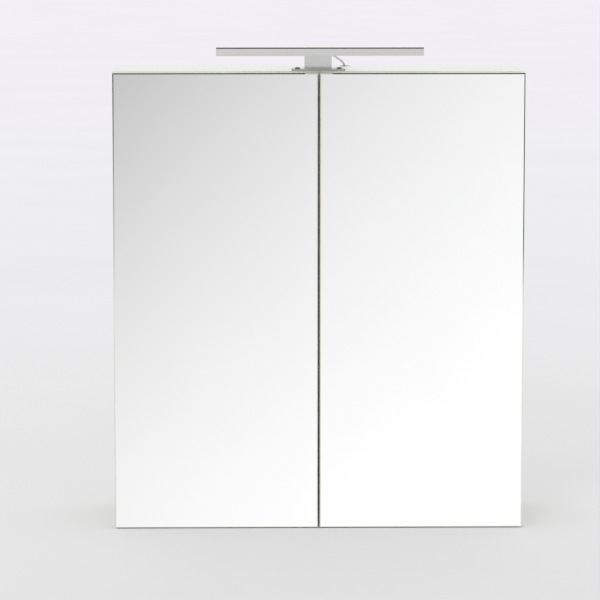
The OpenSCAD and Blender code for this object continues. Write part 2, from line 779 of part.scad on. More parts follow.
// Two sleeves behind the floor of the recess and an earth strip at its top and bottom
module socket_contacts() {
    back_y = box_y0 + socket_depth;
    color("goldenrod") hung() {
        for (side = [-1, 1]) difference() {
            rod_y(contact_r + 0.9, back_y, back_y + 14, socket_x + side * contact_pitch / 2, device_z);
            rod_y(contact_r, back_y - CUT, back_y + 12, socket_x + side * contact_pitch / 2, device_z);
        }
        for (side = [-1, 1]) translate([socket_x, 0, device_z + side * (socket_r - 1.5)])
            block([-2, box_y0 + 4, -0.5], [2, box_y0 + socket_depth - 2, 0.5]);
    }
}

module led_driver() {
    color("black") hung() translate([driver_x0, driver_y0, box_z0 + 8])
        linear_extrude(driver_h) rounded_rect(driver_w, driver_d, 2);
}

module mains_grommet() {
    color("dimgray") hung() difference() {
        union() {
            rod_y(mains_hole_r, back_y0, -back_recess, mains_x, device_z);
            rod_y(mains_hole_r + 2, -back_recess, 2 - back_recess, mains_x, device_z);
        }
        rod_y(mains_r, back_y0 - CUT, 2 - back_recess + CUT, mains_x, device_z);
    }
}

// Rocker cap, tilted about its pivot to its off position, with two stub axles
module rocker_switch() {
    color("whitesmoke") hung() translate([rocker_x, rocker_y, device_z]) rotate([-rocker_tilt, 0, 0]) {
        translate([-rocker_w / 2, 0, 0]) rotate([90, 0, 90]) linear_extrude(rocker_w)
            polygon([[3, -4], [3, 4], [-1, rocker_half], [-rocker_face, rocker_half],
                     [rocker_dip - rocker_face, 0], [-rocker_face, -rocker_half], [-1, -rocker_half]]);
        rod_x(rocker_pin_r, -rocker_w / 2 - 2.4, rocker_w / 2 + 2.4, 0, 0);
    }
}

// ---- doors, drawn for the left one -----------------------------------------------------

module door_board() {
    difference() {
        block([door_x0, door_face_y, door_z0], [door_x1, door_rear_y, door_z1]);
        for (z = hinge_zs) {
            rod_y(cup_r, door_rear_y - cup_depth, door_rear_y + CUT, cup_x, z);
            for (side = [-1, 1]) translate([0, 0, z + side * cup_screw_z])
                rod_y(small_screw_r, door_rear_y - 11, door_rear_y + CUT, cup_screw_x, 0);
        }
    }
}

module mirror_glass() {
    block([door_x0 + glass_inset, glass_face_y, door_z0 + glass_inset],
          [door_x1 - glass_inset, glass_rear_y, door_z1 - glass_inset]);
}

// Four upright strips of double-sided tape
module mirror_tape() {
    strip_w = 25;
    pitch = (door_x1 - door_x0 - 60 - strip_w) / 3;
    for (i = [0 : 3]) translate([door_x0 + 30 + i * pitch, 0, 0])
        block([0, glass_rear_y, door_z0 + 20], [strip_w, door_face_y, door_z1 - 20]);
}

// Pressed cup with a flange, two lugs that hold the pin, and a way out for the arm
module hinge_cup(z) {
    floor_y = door_rear_y - cup_depth + cup_wall;
    lug_z = knuckle_half + lug_gap;
    difference() {
        union() {
            rod_y(cup_r, door_rear_y - cup_depth, door_rear_y, cup_x, z);
            rod_y(cup_r + cup_lip, door_rear_y, door_rear_y + flange_t, cup_x, z);
            block([cup_screw_x - ear_r, door_rear_y, z - cup_screw_z],
                  [cup_screw_x + ear_r, door_rear_y + flange_t, z + cup_screw_z]);
            for (side = [-1, 1])
                rod_y(ear_r, door_rear_y, door_rear_y + flange_t, cup_screw_x, z + side * cup_screw_z);
        }
        difference() {
            rod_y(cup_r - cup_wall, floor_y, door_rear_y + flange_t + CUT, cup_x, z);
            for (side = [-1, 1]) translate([0, 0, z + side * (lug_z + lug_t / 2)])
                block([cup_x - cup_r, floor_y - CUT, -lug_t / 2],
                      [pivot_x + 3, pivot_y + 3, lug_t / 2]);
        }
        block([door_x0 - CUT, door_rear_y, z - 6], [cup_x, door_rear_y + flange_t + CUT, z + 6]);
        rod_z(pin_r, z - pin_half, z + pin_half, pivot_x, pivot_y);
        for (side = [-1, 1]) translate([0, 0, z + side * cup_screw_z])
            rod_y(small_screw_r, door_rear_y - CUT, door_rear_y + flange_t + CUT, cup_screw_x, 0);
    }
}

module hinge_pin(z) { rod_z(pin_r, z - pin_half, z + pin_half, pivot_x, pivot_y, $fn = SMALL); }

module cup_screw_pair(z) {
    for (side = [-1, 1]) translate([cup_screw_x, door_rear_y + flange_t, z + side * cup_screw_z])
        rotate([90, 0, 0]) pan_screw(small_screw_r, flange_t + 11, 3, 1.5);
}

// Round rubber stops near the free edge, against the top and bottom panels
module bumper_pair() {
    for (z = [door_z0 + 7, door_z1 - 7])
        rod_y(4, door_rear_y, door_rear_y + door_space - 0.2, door_x1 - 14, z);
}

module strike_plate() {
    block([catch_mid_x - 15, door_rear_y, inner_top_z - 11],
          [catch_mid_x + 15, door_rear_y + 1.4, inner_top_z - 1]);
}

module door_left() { color("white") hung() door_board(); }
module door_right() { color("white") hung() mirror([1, 0, 0]) door_board(); }
module mirror_left() { color("lightsteelblue") hung() mirror_glass(); }
module mirror_right() { color("lightsteelblue") hung() mirror([1, 0, 0]) mirror_glass(); }
module mirror_tape_left() { color("dimgray") hung() mirror_tape(); }
module mirror_tape_right() { color("dimgray") hung() mirror([1, 0, 0]) mirror_tape(); }
module hinge_cups_left() { color("silver") hung() for (z = hinge_zs) hinge_cup(z); }
module hinge_cups_right() { color("silver") hung() mirror([1, 0, 0]) for (z = hinge_zs) hinge_cup(z); }
module hinge_pins_left() { color("gray") hung() for (z = hinge_zs) hinge_pin(z); }
module hinge_pins_right() { color("gray") hung() mirror([1, 0, 0]) for (z = hinge_zs) hinge_pin(z); }
module cup_screws_left() { color("silver") hung() for (z = hinge_zs) cup_screw_pair(z); }
module cup_screws_right() { color("silver") hung() mirror([1, 0, 0]) for (z = hinge_zs) cup_screw_pair(z); }
module bumpers_left() { color("gainsboro") hung() bumper_pair(); }
module bumpers_right() { color("gainsboro") hung() mirror([1, 0, 0]) bumper_pair(); }
module strike_plate_left() { color("silver") hung() strike_plate(); }
module strike_plate_right() { color("silver") hung() mirror([1, 0, 0]) strike_plate(); }

side_panel_left();
side_panel_right();
top_panel();
bottom_panel();
back_panel();
shelf_lower();
shelf_upper();
shelf_pins();
cam_locks();
cam_bolts();
dowels();
hanging_plates();
hanging_screws();
magnet_catch_housings();
catch_magnets();
catch_screws();
hinge_arms();
hinge_plates();
hinge_plate_screws();
hinge_fixing_screws();
hinge_adjusting_screws();
lamp_base();
lamp_base_screws();
lamp_arm();
lamp_neck_screws();
lamp_housing();
lamp_end_cap_left();
lamp_end_cap_right();
lamp_bar_screws();
lamp_diffuser();
lamp_led_board();
lamp_leds();
lamp_cable();
cable_grommet();
cable_clips();
switch_box();
switch_box_cover();
cover_screws();
box_screws();
socket_insert();
socket_contacts();
led_driver();
mains_grommet();
rocker_switch();
door_left();
door_right();
mirror_left();
mirror_right();
mirror_tape_left();
mirror_tape_right();
hinge_cups_left();
hinge_cups_right();
hinge_pins_left();
hinge_pins_right();
cup_screws_left();
cup_screws_right();
bumpers_left();
bumpers_right();
strike_plate_left();
strike_plate_right();
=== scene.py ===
import json
import math

import bmesh
import bpy
from mathutils import Matrix, Vector


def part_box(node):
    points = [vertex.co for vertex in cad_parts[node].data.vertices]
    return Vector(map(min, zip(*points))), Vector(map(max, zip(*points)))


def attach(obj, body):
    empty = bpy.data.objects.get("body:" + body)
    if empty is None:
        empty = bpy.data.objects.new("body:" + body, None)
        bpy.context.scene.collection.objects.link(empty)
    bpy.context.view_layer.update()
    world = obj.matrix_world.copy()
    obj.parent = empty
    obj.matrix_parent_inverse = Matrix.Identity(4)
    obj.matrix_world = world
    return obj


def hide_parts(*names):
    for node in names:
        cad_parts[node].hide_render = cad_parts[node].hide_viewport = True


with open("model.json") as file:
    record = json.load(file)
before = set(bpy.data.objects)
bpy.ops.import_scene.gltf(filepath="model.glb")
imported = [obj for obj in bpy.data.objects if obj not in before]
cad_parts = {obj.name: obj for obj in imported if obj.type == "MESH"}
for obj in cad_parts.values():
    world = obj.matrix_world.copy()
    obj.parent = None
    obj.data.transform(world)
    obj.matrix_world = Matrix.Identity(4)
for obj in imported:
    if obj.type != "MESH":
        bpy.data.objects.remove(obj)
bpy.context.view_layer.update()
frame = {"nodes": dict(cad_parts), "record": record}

scene = bpy.context.scene
scene.view_settings.view_transform = "Standard"
NODES = frame["nodes"]

MM = 0.001
UP = Vector((0, 0, 1))


# ---- camera ----------------------------------------------------------------------

CAMERA_AT = (-0.094, -4.739, 0.300)
CAMERA_YAW = 0.838           # degrees, towards +X
CAMERA_PITCH = 7.300         # degrees, downwards
CAMERA_LENS = 188.4          # millimetres, on a sensor 36 wide

camera = bpy.data.objects.new("camera", bpy.data.cameras.new("camera"))
camera.data.lens = CAMERA_LENS
camera.data.sensor_width = 36
camera.data.clip_end = 200
camera.location = CAMERA_AT
camera.rotation_euler = (math.radians(90 - CAMERA_PITCH), 0, math.radians(-CAMERA_YAW))
scene.collection.objects.link(camera)
scene.camera = camera


# ---- node helpers ----------------------------------------------------------------

def add(tree, kind, **settings):
    """A new node with its properties and constant inputs set."""
    node = tree.nodes.new(kind)
    for key, value in settings.items():
        if hasattr(node, key):
            setattr(node, key, value)
        else:
            node.inputs[key.replace("_", " ")].default_value = value
    return node


def rgba(colour):
    return (*colour, 1.0)


def blank(name):
    """An empty material with a Principled shader: (material, tree, shader)."""
    made = bpy.data.materials.new(name)
    made.use_nodes = True
    tree = made.node_tree
    tree.nodes.clear()
    shader = add(tree, "ShaderNodeBsdfPrincipled")
    out = add(tree, "ShaderNodeOutputMaterial")
    tree.links.new(shader.outputs[0], out.inputs[0])
    return made, tree, shader


def noise(tree, scale, stretch, detail):
    """Noise in the object's own metres, squeezed along an axis by stretch."""
    where = add(tree, "ShaderNodeTexCoord")
    place = add(tree, "ShaderNodeMapping")
    place.inputs["Scale"].default_value = stretch
    made = add(tree, "ShaderNodeTexNoise", Scale=scale, Detail=detail, Roughness=0.55)
    tree.links.new(where.outputs["Object"], place.inputs[0])
    tree.links.new(place.outputs[0], made.inputs["Vector"])
    return made.outputs[0]


def ramp(tree, source, low, high, start=0.35, end=0.65):
    """Colour from low to high as source goes from start to end."""
    node = add(tree, "ShaderNodeValToRGB")
    node.color_ramp.elements[0].position = start
    node.color_ramp.elements[1].position = end
    node.color_ramp.elements[0].color = rgba(low)
    node.color_ramp.elements[1].color = rgba(high)
    tree.links.new(source, node.inputs[0])
    return node.outputs[0]


def spread(tree, source, low, high):
    """Number from low to high as source goes from 0.3 to 0.7."""
    node = add(tree, "ShaderNodeMapRange")
    node.inputs[1].default_value = 0.3
    node.inputs[2].default_value = 0.7
    node.inputs[3].default_value = low
    node.inputs[4].default_value = high
    tree.links.new(source, node.inputs[0])
    return node.outputs[0]


def bump(tree, source, distance):
    node = add(tree, "ShaderNodeBump", Strength=1.0, Distance=distance)
    tree.links.new(source, node.inputs["Height"])
    return node.outputs[0]


def surface(name, low, high, rough, grain, depth, stretch=(1, 1, 1), blotch=9.0, **constants):
    """A material with slow colour drift, uneven gloss and a fine grain in relief.
    rough is (least, most); grain is the relief's scale per metre and depth its height."""
    made, tree, shader = blank(name)
    drift = noise(tree, blotch, stretch, 5.0)
    fine = noise(tree, grain, stretch, 3.0)
    tree.links.new(ramp(tree, drift, low, high), shader.inputs["Base Color"])
    tree.links.new(spread(tree, drift, *rough), shader.inputs["Roughness"])
    tree.links.new(bump(tree, fine, depth), shader.inputs["Normal"])
    for key, value in constants.items():
        shader.inputs[key.replace("_", " ")].default_value = value
    return made


# ---- materials -------------------------------------------------------------------

def melamine():
    """Satin white melamine: a faint orange peel and very slight tone drift."""
    return surface("white_melamine", (0.760, 0.780, 0.722), (0.795, 0.815, 0.758), (0.30, 0.42),
                   900, 0.00003, blotch=6, Specular_IOR_Level=0.45)


def back_board():
    return surface("back_board", (0.74, 0.74, 0.72), (0.765, 0.765, 0.745), (0.55, 0.70),
                   1400, 0.0001, blotch=40)


def steel(name, low, high, rough, brushed):
    """Plated steel, with fine lines along brushed's short axes."""
    return surface(name, low, high, rough, 500, 0.00003, stretch=brushed, blotch=45, Metallic=1.0)


def plastic(name, low, high, rough=(0.38, 0.5), grain=1600, depth=0.00005):
    return surface(name, low, high, rough, grain, depth, blotch=30)


def rubber(name, low, high, rough=(0.55, 0.72)):
    return surface(name, low, high, rough, 1100, 0.00006, blotch=60, Specular_IOR_Level=0.35)


def wood():
    """Beech, its grain along the dowels."""
    return surface("wood_dowel", (0.50, 0.33, 0.17), (0.66, 0.46, 0.27), (0.5, 0.65),
                   700, 0.0001, stretch=(0.15, 1, 1), blotch=160)


def opal():
    return surface("opal_diffuser", (0.84, 0.84, 0.81), (0.88, 0.88, 0.85), (0.35, 0.45),
                   900, 0.00003, Subsurface_Weight=0.4, Subsurface_Scale=0.004)


def silicone():
    return surface("clear_bumper", (0.78, 0.78, 0.76), (0.86, 0.86, 0.84), (0.25, 0.4),
                   700, 0.00004, Transmission_Weight=0.6, IOR=1.42)


def shelf_glass():
    """Clear glass on the faces and deep green in the edges, where light travels far inside."""
    made, tree, shader = blank("shelf_glass")
    facing = add(tree, "ShaderNodeNewGeometry")
    upright = add(tree, "ShaderNodeVectorMath", operation="DOT_PRODUCT")
    upright.inputs[1].default_value = UP
    flat = add(tree, "ShaderNodeMath", operation="ABSOLUTE")
    tree.links.new(facing.outputs["True Normal"], upright.inputs[0])
    tree.links.new(upright.outputs["Value"], flat.inputs[0])
    tint = ramp(tree, flat.outputs[0], (0.20, 0.42, 0.36), (0.93, 0.97, 0.955), 0.55, 0.95)
    tree.links.new(tint, shader.inputs["Base Color"])
    smudge = noise(tree, 22, (1, 1, 1), 6.0)
    tree.links.new(spread(tree, smudge, 0.0, 0.05), shader.inputs["Roughness"])
    shader.inputs["Transmission Weight"].default_value = 0.95
    shader.inputs["IOR"].default_value = 1.5
    return made


def silvering():
    """The mirror face: silver under clear glass, with the faintest wave and film."""
    return surface("mirror", (0.905, 0.912, 0.908), (0.925, 0.93, 0.926), (0.004, 0.02),
                   2.2, 0.000004, blotch=3, Metallic=1.0)


def glass_edge(name, low, high, rough):
    return surface(name, low, high, rough, 800, 0.00003, blotch=70, Specular_IOR_Level=0.8)


METAL = ((0.60, 0.60, 0.585), (0.67, 0.67, 0.655))
FINISHES = {
    "white_melamine": melamine(),
    "back_board": back_board(),
    "shelf_glass": shelf_glass(),
    "zinc_steel": steel("zinc_steel", *METAL, (0.22, 0.36), (1, 1, 0.2)),
    "wood_dowel": wood(),
    "screw_steel": steel("screw_steel", (0.52, 0.52, 0.50), (0.62, 0.62, 0.60), (0.25, 0.4), (1, 1, 1)),
    "dark_screw": steel("dark_screw", (0.10, 0.10, 0.10), (0.16, 0.16, 0.16), (0.28, 0.45), (1, 1, 1)),
    "magnet": plastic("magnet", (0.035, 0.035, 0.04), (0.07, 0.07, 0.075), (0.5, 0.7)),
    "white_plastic": plastic("white_plastic", (0.79, 0.79, 0.77), (0.84, 0.84, 0.82)),
    "satin_nickel": steel("satin_nickel", (0.60, 0.60, 0.592), (0.66, 0.66, 0.652),
                          (0.10, 0.18), (0.05, 1, 1)),
    "opal_diffuser": opal(),
    "led_board": plastic("led_board", (0.78, 0.78, 0.75), (0.84, 0.84, 0.81), (0.3, 0.4)),
    "led_chip": plastic("led_chip", (0.82, 0.66, 0.18), (0.90, 0.78, 0.30), (0.2, 0.3)),
    "grey_cable": rubber("grey_cable", (0.50, 0.49, 0.45), (0.60, 0.59, 0.55), (0.4, 0.55)),
    "grey_rubber": rubber("grey_rubber", (0.28, 0.28, 0.27), (0.36, 0.36, 0.35)),
    "contact_brass": steel("contact_brass", (0.66, 0.47, 0.17), (0.76, 0.58, 0.27),
                           (0.2, 0.35), (1, 0.2, 1)),
    "black_plastic": plastic("black_plastic", (0.018, 0.018, 0.018), (0.035, 0.035, 0.035)),
    "mirror": silvering(),
    "foam_tape": rubber("foam_tape", (0.02, 0.02, 0.022), (0.05, 0.05, 0.055), (0.8, 0.95)),
    "clear_bumper": silicone(),
}
SLOT_OF = {row["node"]: row["material_slot"] for row in frame["record"]["subparts"]}


# ---- mesh helpers ----------------------------------------------------------------

def piece(name, mesh, body, slot, *replaced):
    """A new object of the cabinet that rides on a body and may stand for CAD nodes."""
    made = bpy.data.objects.new(name, mesh)
    scene.collection.objects.link(made)
    if not mesh.materials:
        mesh.materials.append(FINISHES[slot])
    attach(made, body)
    if replaced:
        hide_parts(*replaced)
    return made


def mesh_of(name, build):
    mesh = bpy.data.meshes.new(name)
    shape = bmesh.new()
    build(shape)
    shape.to_mesh(mesh)
    shape.free()
    return mesh


def solids(node):
    """The lowest and highest corner of each separate solid in a CAD node, sorted."""
    shape = bmesh.new()
    shape.from_mesh(NODES[node].data)
    bmesh.ops.remove_doubles(shape, verts=shape.verts, dist=1e-6)
    left, found = set(shape.verts), []
    while left:
        island, front = set(), [left.pop()]
        while front:
            vert = front.pop()
            island.add(vert)
            near = {edge.other_vert(vert) for edge in vert.link_edges} & left
            left -= near
            front.extend(near)
        spans = [[v.co[k] for v in island] for k in range(3)]
        found.append((Vector([min(s) for s in spans]), Vector([max(s) for s in spans])))
    shape.free()
    return sorted(found, key=lambda pair: tuple(round(c, 4) for c in pair[0]))


def soften(node, width, angle=35, segments=2):
    """Breaks the sharp edges of a CAD node's shown mesh, as real edges are broken."""
    shown = NODES[node]
    weld = shown.modifiers.new("weld", "WELD")
    weld.merge_threshold = 1e-6
    edges = shown.modifiers.new("edges", "BEVEL")
    edges.width = width
    edges.segments = segments
    edges.limit_method = "ANGLE"
    edges.angle_limit = math.radians(angle)
    edges.use_clamp_overlap = True
    edges.harden_normals = True


def revolve(shape, outline, place, turns=40):
    """Turns an outline of (radius, height) points about +Z and puts it at place."""
    rings = []
    for radius, height in outline:
        if radius < 1e-9:
            rings.append([shape.verts.new(place @ Vector((0, 0, height)))])
            continue
        rings.append([
            shape.verts.new(place @ Vector((radius * math.cos(a), radius * math.sin(a), height)))
            for a in (2 * math.pi * k / turns for k in range(turns))
        ])
    for lower, upper in zip(rings, rings[1:]):
        for k in range(turns):
            after = (k + 1) % turns
            corners = [lower[k % len(lower)], lower[after % len(lower)],
                       upper[after % len(upper)], upper[k % len(upper)]]
            shape.faces.new(list(dict.fromkeys(corners)))


def smooth(mesh, angle=40):
    """Smooth shading, with edges above angle kept sharp."""
    for face in mesh.polygons:
        face.use_smooth = True
    shape = bmesh.new()
    shape.from_mesh(mesh)
    for edge in shape.edges:
        if len(edge.link_faces) == 2:
            edge.smooth = edge.calc_face_angle(0) < math.radians(angle)
    shape.to_mesh(mesh)
    shape.free()


def arc(centre_r, centre_h, radius, start, end, steps):
    """Points of an arc in the (radius, height) plane, angles in degrees."""
    return [
        (centre_r + radius * math.cos(math.radians(a)), centre_h + radius * math.sin(math.radians(a)))
        for a in (start + (end - start) * k / steps for k in range(steps + 1))
    ]


# ---- every CAD node gets its slot's finish ---------------------------------------

for name, shown in NODES.items():
    shown.data.materials.clear()
    shown.data.materials.append(FINISHES[SLOT_OF[name]])

# The lamp's foot is darker and duller than its arm.
NODES["lamp_base"].data.materials[0] = steel("base_nickel", (0.38, 0.38, 0.37), (0.46, 0.46, 0.45),
                                             (0.22, 0.34), (0.05, 1, 1))

BOARDS = ("side_panel_left", "side_panel_right", "top_panel", "bottom_panel", "door_left", "door_right")
SHEET_METAL = ("hinge_arms", "hinge_plates", "hinge_cups_left", "hinge_cups_right",
               "strike_plate_left", "strike_plate_right", "hanging_plates")
MOULDED = ("switch_box", "magnet_catch_housings", "cable_clips", "socket_insert", "led_driver",
           "cam_locks")
for name in BOARDS:
    soften(name, 1.1 * MM)
for name in SHEET_METAL:
    soften(name, 0.25 * MM)
for name in MOULDED:
    soften(name, 0.4 * MM)
for name in ("shelf_lower", "shelf_upper"):
    soften(name, 0.8 * MM, segments=3)
for name in ("lamp_housing", "lamp_end_cap_left", "lamp_end_cap_right"):
    soften(name, 0.3 * MM)
soften("lamp_arm", 1.0 * MM, segments=3)
soften("lamp_base", 1.0 * MM, segments=1)
soften("lamp_diffuser", 0.5 * MM)
soften("switch_box_cover", 0.8 * MM, segments=3)
soften("rocker_switch", 0.8 * MM, segments=3)
soften("catch_magnets", 0.2 * MM)
soften("shelf_pins", 0.5 * MM)


# ---- mirrors ---------------------------------------------------------------------

ARRIS = 1.4 * MM             # polished edge around the face of each glass
EDGE_FINISH = surface("mirror_arris", (0.78, 0.76, 0.68), (0.84, 0.82, 0.75), (0.03, 0.07),
                      900, 0.00002, blotch=60, Metallic=1.0)
SIDE_FINISH = glass_edge("mirror_side", (0.035, 0.06, 0.05), (0.06, 0.095, 0.08), (0.2, 0.35))
BACK_FINISH = plastic("mirror_back_paint", (0.30, 0.31, 0.32), (0.36, 0.37, 0.38), (0.6, 0.8))


def box_of(shape, low, high):
    """Adds a box between two corners and returns its vertices."""
    made = bmesh.ops.create_cube(shape, size=1)
    size = high - low
    bmesh.ops.scale(shape, vec=size, verts=made["verts"])
    bmesh.ops.translate(shape, vec=(low + high) / 2, verts=made["verts"])
    return made["verts"]


def mirror_pane(side):
    """Silvered glass with a ground arris around its face."""
    node = "mirror_" + side
    low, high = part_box(node)

    def build(shape):
        box_of(shape, low, high)
        front = [e for e in shape.edges if all(v.co.y < low.y + 1e-5 for v in e.verts)]
        bmesh.ops.bevel(shape, geom=front, offset=ARRIS, segments=1, profile=0.5, affect="EDGES")
        rear = [e for e in shape.edges if all(v.co.y > high.y - 1e-5 for v in e.verts)]
        bmesh.ops.bevel(shape, geom=rear, offset=ARRIS / 3, segments=1, profile=0.5, affect="EDGES")
        shape.normal_update()
        for face in shape.faces:
            facing = face.normal.y
            if facing < -0.99:
                face.material_index = 0
            elif facing < -0.1:
                face.material_index = 1
            else:
                face.material_index = 3 if facing > 0.99 else 2

    mesh = mesh_of(node + "_glass", build)
    for finish in (FINISHES["mirror"], EDGE_FINISH, SIDE_FINISH, BACK_FINISH):
        mesh.materials.append(finish)
    piece(node + "_glass", mesh, side + "_door", "mirror", node)


for side in ("left", "right"):
    mirror_pane(side)


# ---- screws ----------------------------------------------------------------------

def cross_recess(half, deep, place):
    """A tapered cross, to be cut from a screw head, as a mesh."""
    def build(shape):
        for turn in (0, math.pi / 2):
            corner = Vector((half, half * 0.22, deep))
            verts = box_of(shape, -corner, corner)
            for vert in verts:
                if vert.co.z < 0:
                    vert.co.x *= 0.45
                    vert.co.y *= 0.6
            bmesh.ops.transform(shape, matrix=place @ Matrix.Rotation(turn, 4, "Z"), verts=verts)
    return mesh_of("recess", build)


def screw_outline(head_r, head_h, shank_r, length):
    """A domed pan head on a shank with a rolled thread and a point, head upwards."""
    pitch = 0.9 * MM
    outline = [(0, -length), (shank_r * 0.5, -length + shank_r)]
    turns = max(1, int((length - 3 * shank_r) / pitch))
    for k in range(turns):
        start = -length + 1.5 * shank_r + k * pitch
        outline += [(shank_r * 0.8, start), (shank_r, start + pitch * 0.5)]
    outline += [(shank_r * 0.8, -shank_r), (shank_r * 0.8, 0), (head_r, 0)]
    outline += [(head_r, head_h * 0.35)]
    outline += [
        (head_r * math.cos(a), head_h * (0.35 + 0.65 * math.sin(a)))
        for a in (math.radians(d) for d in (20, 40, 60, 76))
    ]
    return outline + [(0, head_h)]


def detailed_screws(node, axis, body):
    """Replaces a node of plain screws: each solid keeps its place, and its head points along axis."""
    out = Vector(axis)
    along = max(range(3), key=lambda k: abs(out[k]))
    turned = out.to_track_quat("Z", "Y").to_matrix().to_4x4()
    parts, recesses = [], []
    for low, high in solids(node):
        size = high - low
        head_r = size[(along + 1) % 3] / 2
        top = (low + high) / 2
        top[along] = high[along] if out[along] > 0 else low[along]
        head_h = head_r * 0.56
        base = top - out * head_h
        place = Matrix.Translation(base) @ turned
        length = size[along] - head_h
        parts.append((screw_outline(head_r, head_h, head_r * 0.5, length), place))
        recesses.append(cross_recess(head_r * 0.56, head_h * 0.75,
                                     Matrix.Translation(base + out * head_h) @ turned))

    def build(shape):
        for outline, place in parts:
            revolve(shape, outline, place, turns=28)

    mesh = mesh_of(node + "_detail", build)
    made = piece(node + "_detail", mesh, body, SLOT_OF[node], node)
    crosses = mesh_of("cutter", lambda shape: [shape.from_mesh(mesh) for mesh in recesses])
    cutter = bpy.data.objects.new("cutter", crosses)
    scene.collection.objects.link(cutter)
    cut = made.modifiers.new("recess", "BOOLEAN")
    cut.object = cutter
    cut.operation = "DIFFERENCE"
    cut.solver = "EXACT"
    cut.use_self = True
    bpy.context.view_layer.update()
    shown = bpy.data.meshes.new_from_object(made.evaluated_get(bpy.context.evaluated_depsgraph_get()))
    made.modifiers.clear()
    made.data = shown
    made.data.materials.clear()
    made.data.materials.append(FINISHES[SLOT_OF[node]])
    bpy.data.objects.remove(cutter)
    smooth(made.data, 30)


detailed_screws("lamp_base_screws", (0, 0, 1), "carcass")
detailed_screws("cover_screws", (0, -1, 0), "carcass")
for side, body in (("left", "left_door"), ("right", "right_door")):
    detailed_screws("cup_screws_" + side, (0, 1, 0), body)


# ---- lamp cable ------------------------------------------------------------------

CABLE_DIAMETER = 3 * MM
CARCASS_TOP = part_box("top_panel")[1].z
CABLE_ROUTE = [               # millimetres: x, y and height over the top panel
    (12, -122, 25.4), (12, -116, 25.4), (12.9, -109.5, 25), (15.6, -101.5, 23.7), (20.2, -90, 21),
    (25.2, -77.6, 17.4), (30.1, -65, 13.7), (34.4, -53.4, 10.4), (37.6, -43.8, 7.4),
    (39.6, -36.8, 4.9), (41.2, -32.4, 1.4), (42, -30.4, -4), (42, -30, -9), (42, -30, -14),
    (43.2, -30.9, -19), (47.2, -34, -23.4), (54.4, -39.2, -25), (61.2, -43.2, -25),
    (66, -44.8, -25), (70, -45, -25), (80, -45, -25), (140, -45, -25), (176, -45, -25),
]


def catmull(before, start, end, after, t):
    """A point between start and end on the smooth line through all four."""
    return 0.5 * (2 * start + (end - before) * t + (2 * before - 5 * start + 4 * end - after) * t * t
                  + (3 * start - before - 3 * end + after) * t ** 3)


def smooth_line(points, steps):
    """The points with steps - 1 more between each two, on a smooth line."""
    line = []
    for k in range(len(points) - 1):
        before, after = points[max(k - 1, 0)], points[min(k + 2, len(points) - 1)]
        line += [catmull(before, points[k], points[k + 1], after, s / steps) for s in range(steps)]
    return line + [points[-1]]


def lamp_cable():
    route = [Vector((x * MM, y * MM, CARCASS_TOP + z * MM)) for x, y, z in CABLE_ROUTE]
    line = smooth_line(route, 6)
    curve = bpy.data.curves.new("lamp_cable_sheath", "CURVE")
    curve.dimensions = "3D"
    curve.bevel_depth = CABLE_DIAMETER / 2
    curve.bevel_resolution = 6
    curve.use_fill_caps = True
    spline = curve.splines.new("POLY")
    spline.points.add(len(line) - 1)
    for point, at in zip(spline.points, line):
        point.co = (*at, 1)
    spline.use_smooth = True
    curve.materials.append(FINISHES["grey_cable"])
    made = bpy.data.objects.new("lamp_cable_sheath", curve)
    scene.collection.objects.link(made)
    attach(made, "carcass")
    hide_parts("lamp_cable")


lamp_cable()


# ---- round rubber parts ----------------------------------------------------------

def cable_grommet():
    """Ring with a rounded collar where the cable goes into the top panel."""
    low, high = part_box("cable_grommet")
    middle = (low + high) / 2
    bore, neck, collar = 4.4 * MM, 6 * MM, (high.x - low.x) / 2
    lip = (high.z - CARCASS_TOP) / 2
    foot, deck = low.z - middle.z, CARCASS_TOP - middle.z
    outline = [(neck, foot), (neck, deck), (collar - lip, deck)]
    outline += arc(collar - lip, deck + lip, lip, -90, 90, 6)[1:]
    outline += arc(bore + lip, deck + lip, lip, 90, 180, 4)
    outline += [(bore, foot), (neck, foot)]

    def build(shape):
        revolve(shape, outline, Matrix.Translation(middle), turns=48)
        bmesh.ops.remove_doubles(shape, verts=shape.verts, dist=1e-7)

    mesh = mesh_of("cable_grommet_ring", build)
    smooth(mesh)
    piece("cable_grommet_ring", mesh, "carcass", "grey_rubber", "cable_grommet")


def door_bumpers(side):
    """Soft domes on the door's rear face."""
    node = "bumpers_" + side
    turned = Matrix.Rotation(math.radians(-90), 4, "X")

    def build(shape):
        for low, high in solids(node):
            radius, height = (high.x - low.x) / 2, high.y - low.y
            foot = Vector(((low.x + high.x) / 2, low.y, (low.z + high.z) / 2))
            outline = [(0, 0), (radius, 0), (radius, height * 0.3)]
            outline += [
                (radius * math.cos(a), height * (0.3 + 0.7 * math.sin(a)))
                for a in (math.radians(d) for d in (20, 40, 60, 75))
            ]
            revolve(shape, outline + [(0, height)], Matrix.Translation(foot) @ turned, turns=32)

    mesh = mesh_of(node + "_domes", build)
    smooth(mesh)
    piece(node + "_domes", mesh, side + "_door", "clear_bumper", node)


cable_grommet()
for side in ("left", "right"):
    door_bumpers(side)


# ---- stage and light -------------------------------------------------------------

FLOOR_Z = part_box("side_panel_left")[0].z
FLOOR_SIZE = 140
FLOOR_SHADE_HEART = (0, -1.5)      # where the painted shade on the paper is deepest
FLOOR_SHADE_REACH = 5.4            # metres from there to half way
FLOOR_SHADE_TONES = [              # nearness, from 0 far away to 1 at the heart, and the colour there: painted shade, darkest at the heart
    (0.19, (0.894, 0.869, 0.928)),
    (0.27, (0.884, 0.859, 0.918)),
    (0.395, (0.863, 0.855, 0.896)),
    (0.578, (0.822, 0.822, 0.838)),
    (0.734, (0.788, 0.788, 0.790)),
    (0.816, (0.800, 0.800, 0.802)),
    (0.86, (0.764, 0.764, 0.766)),
]


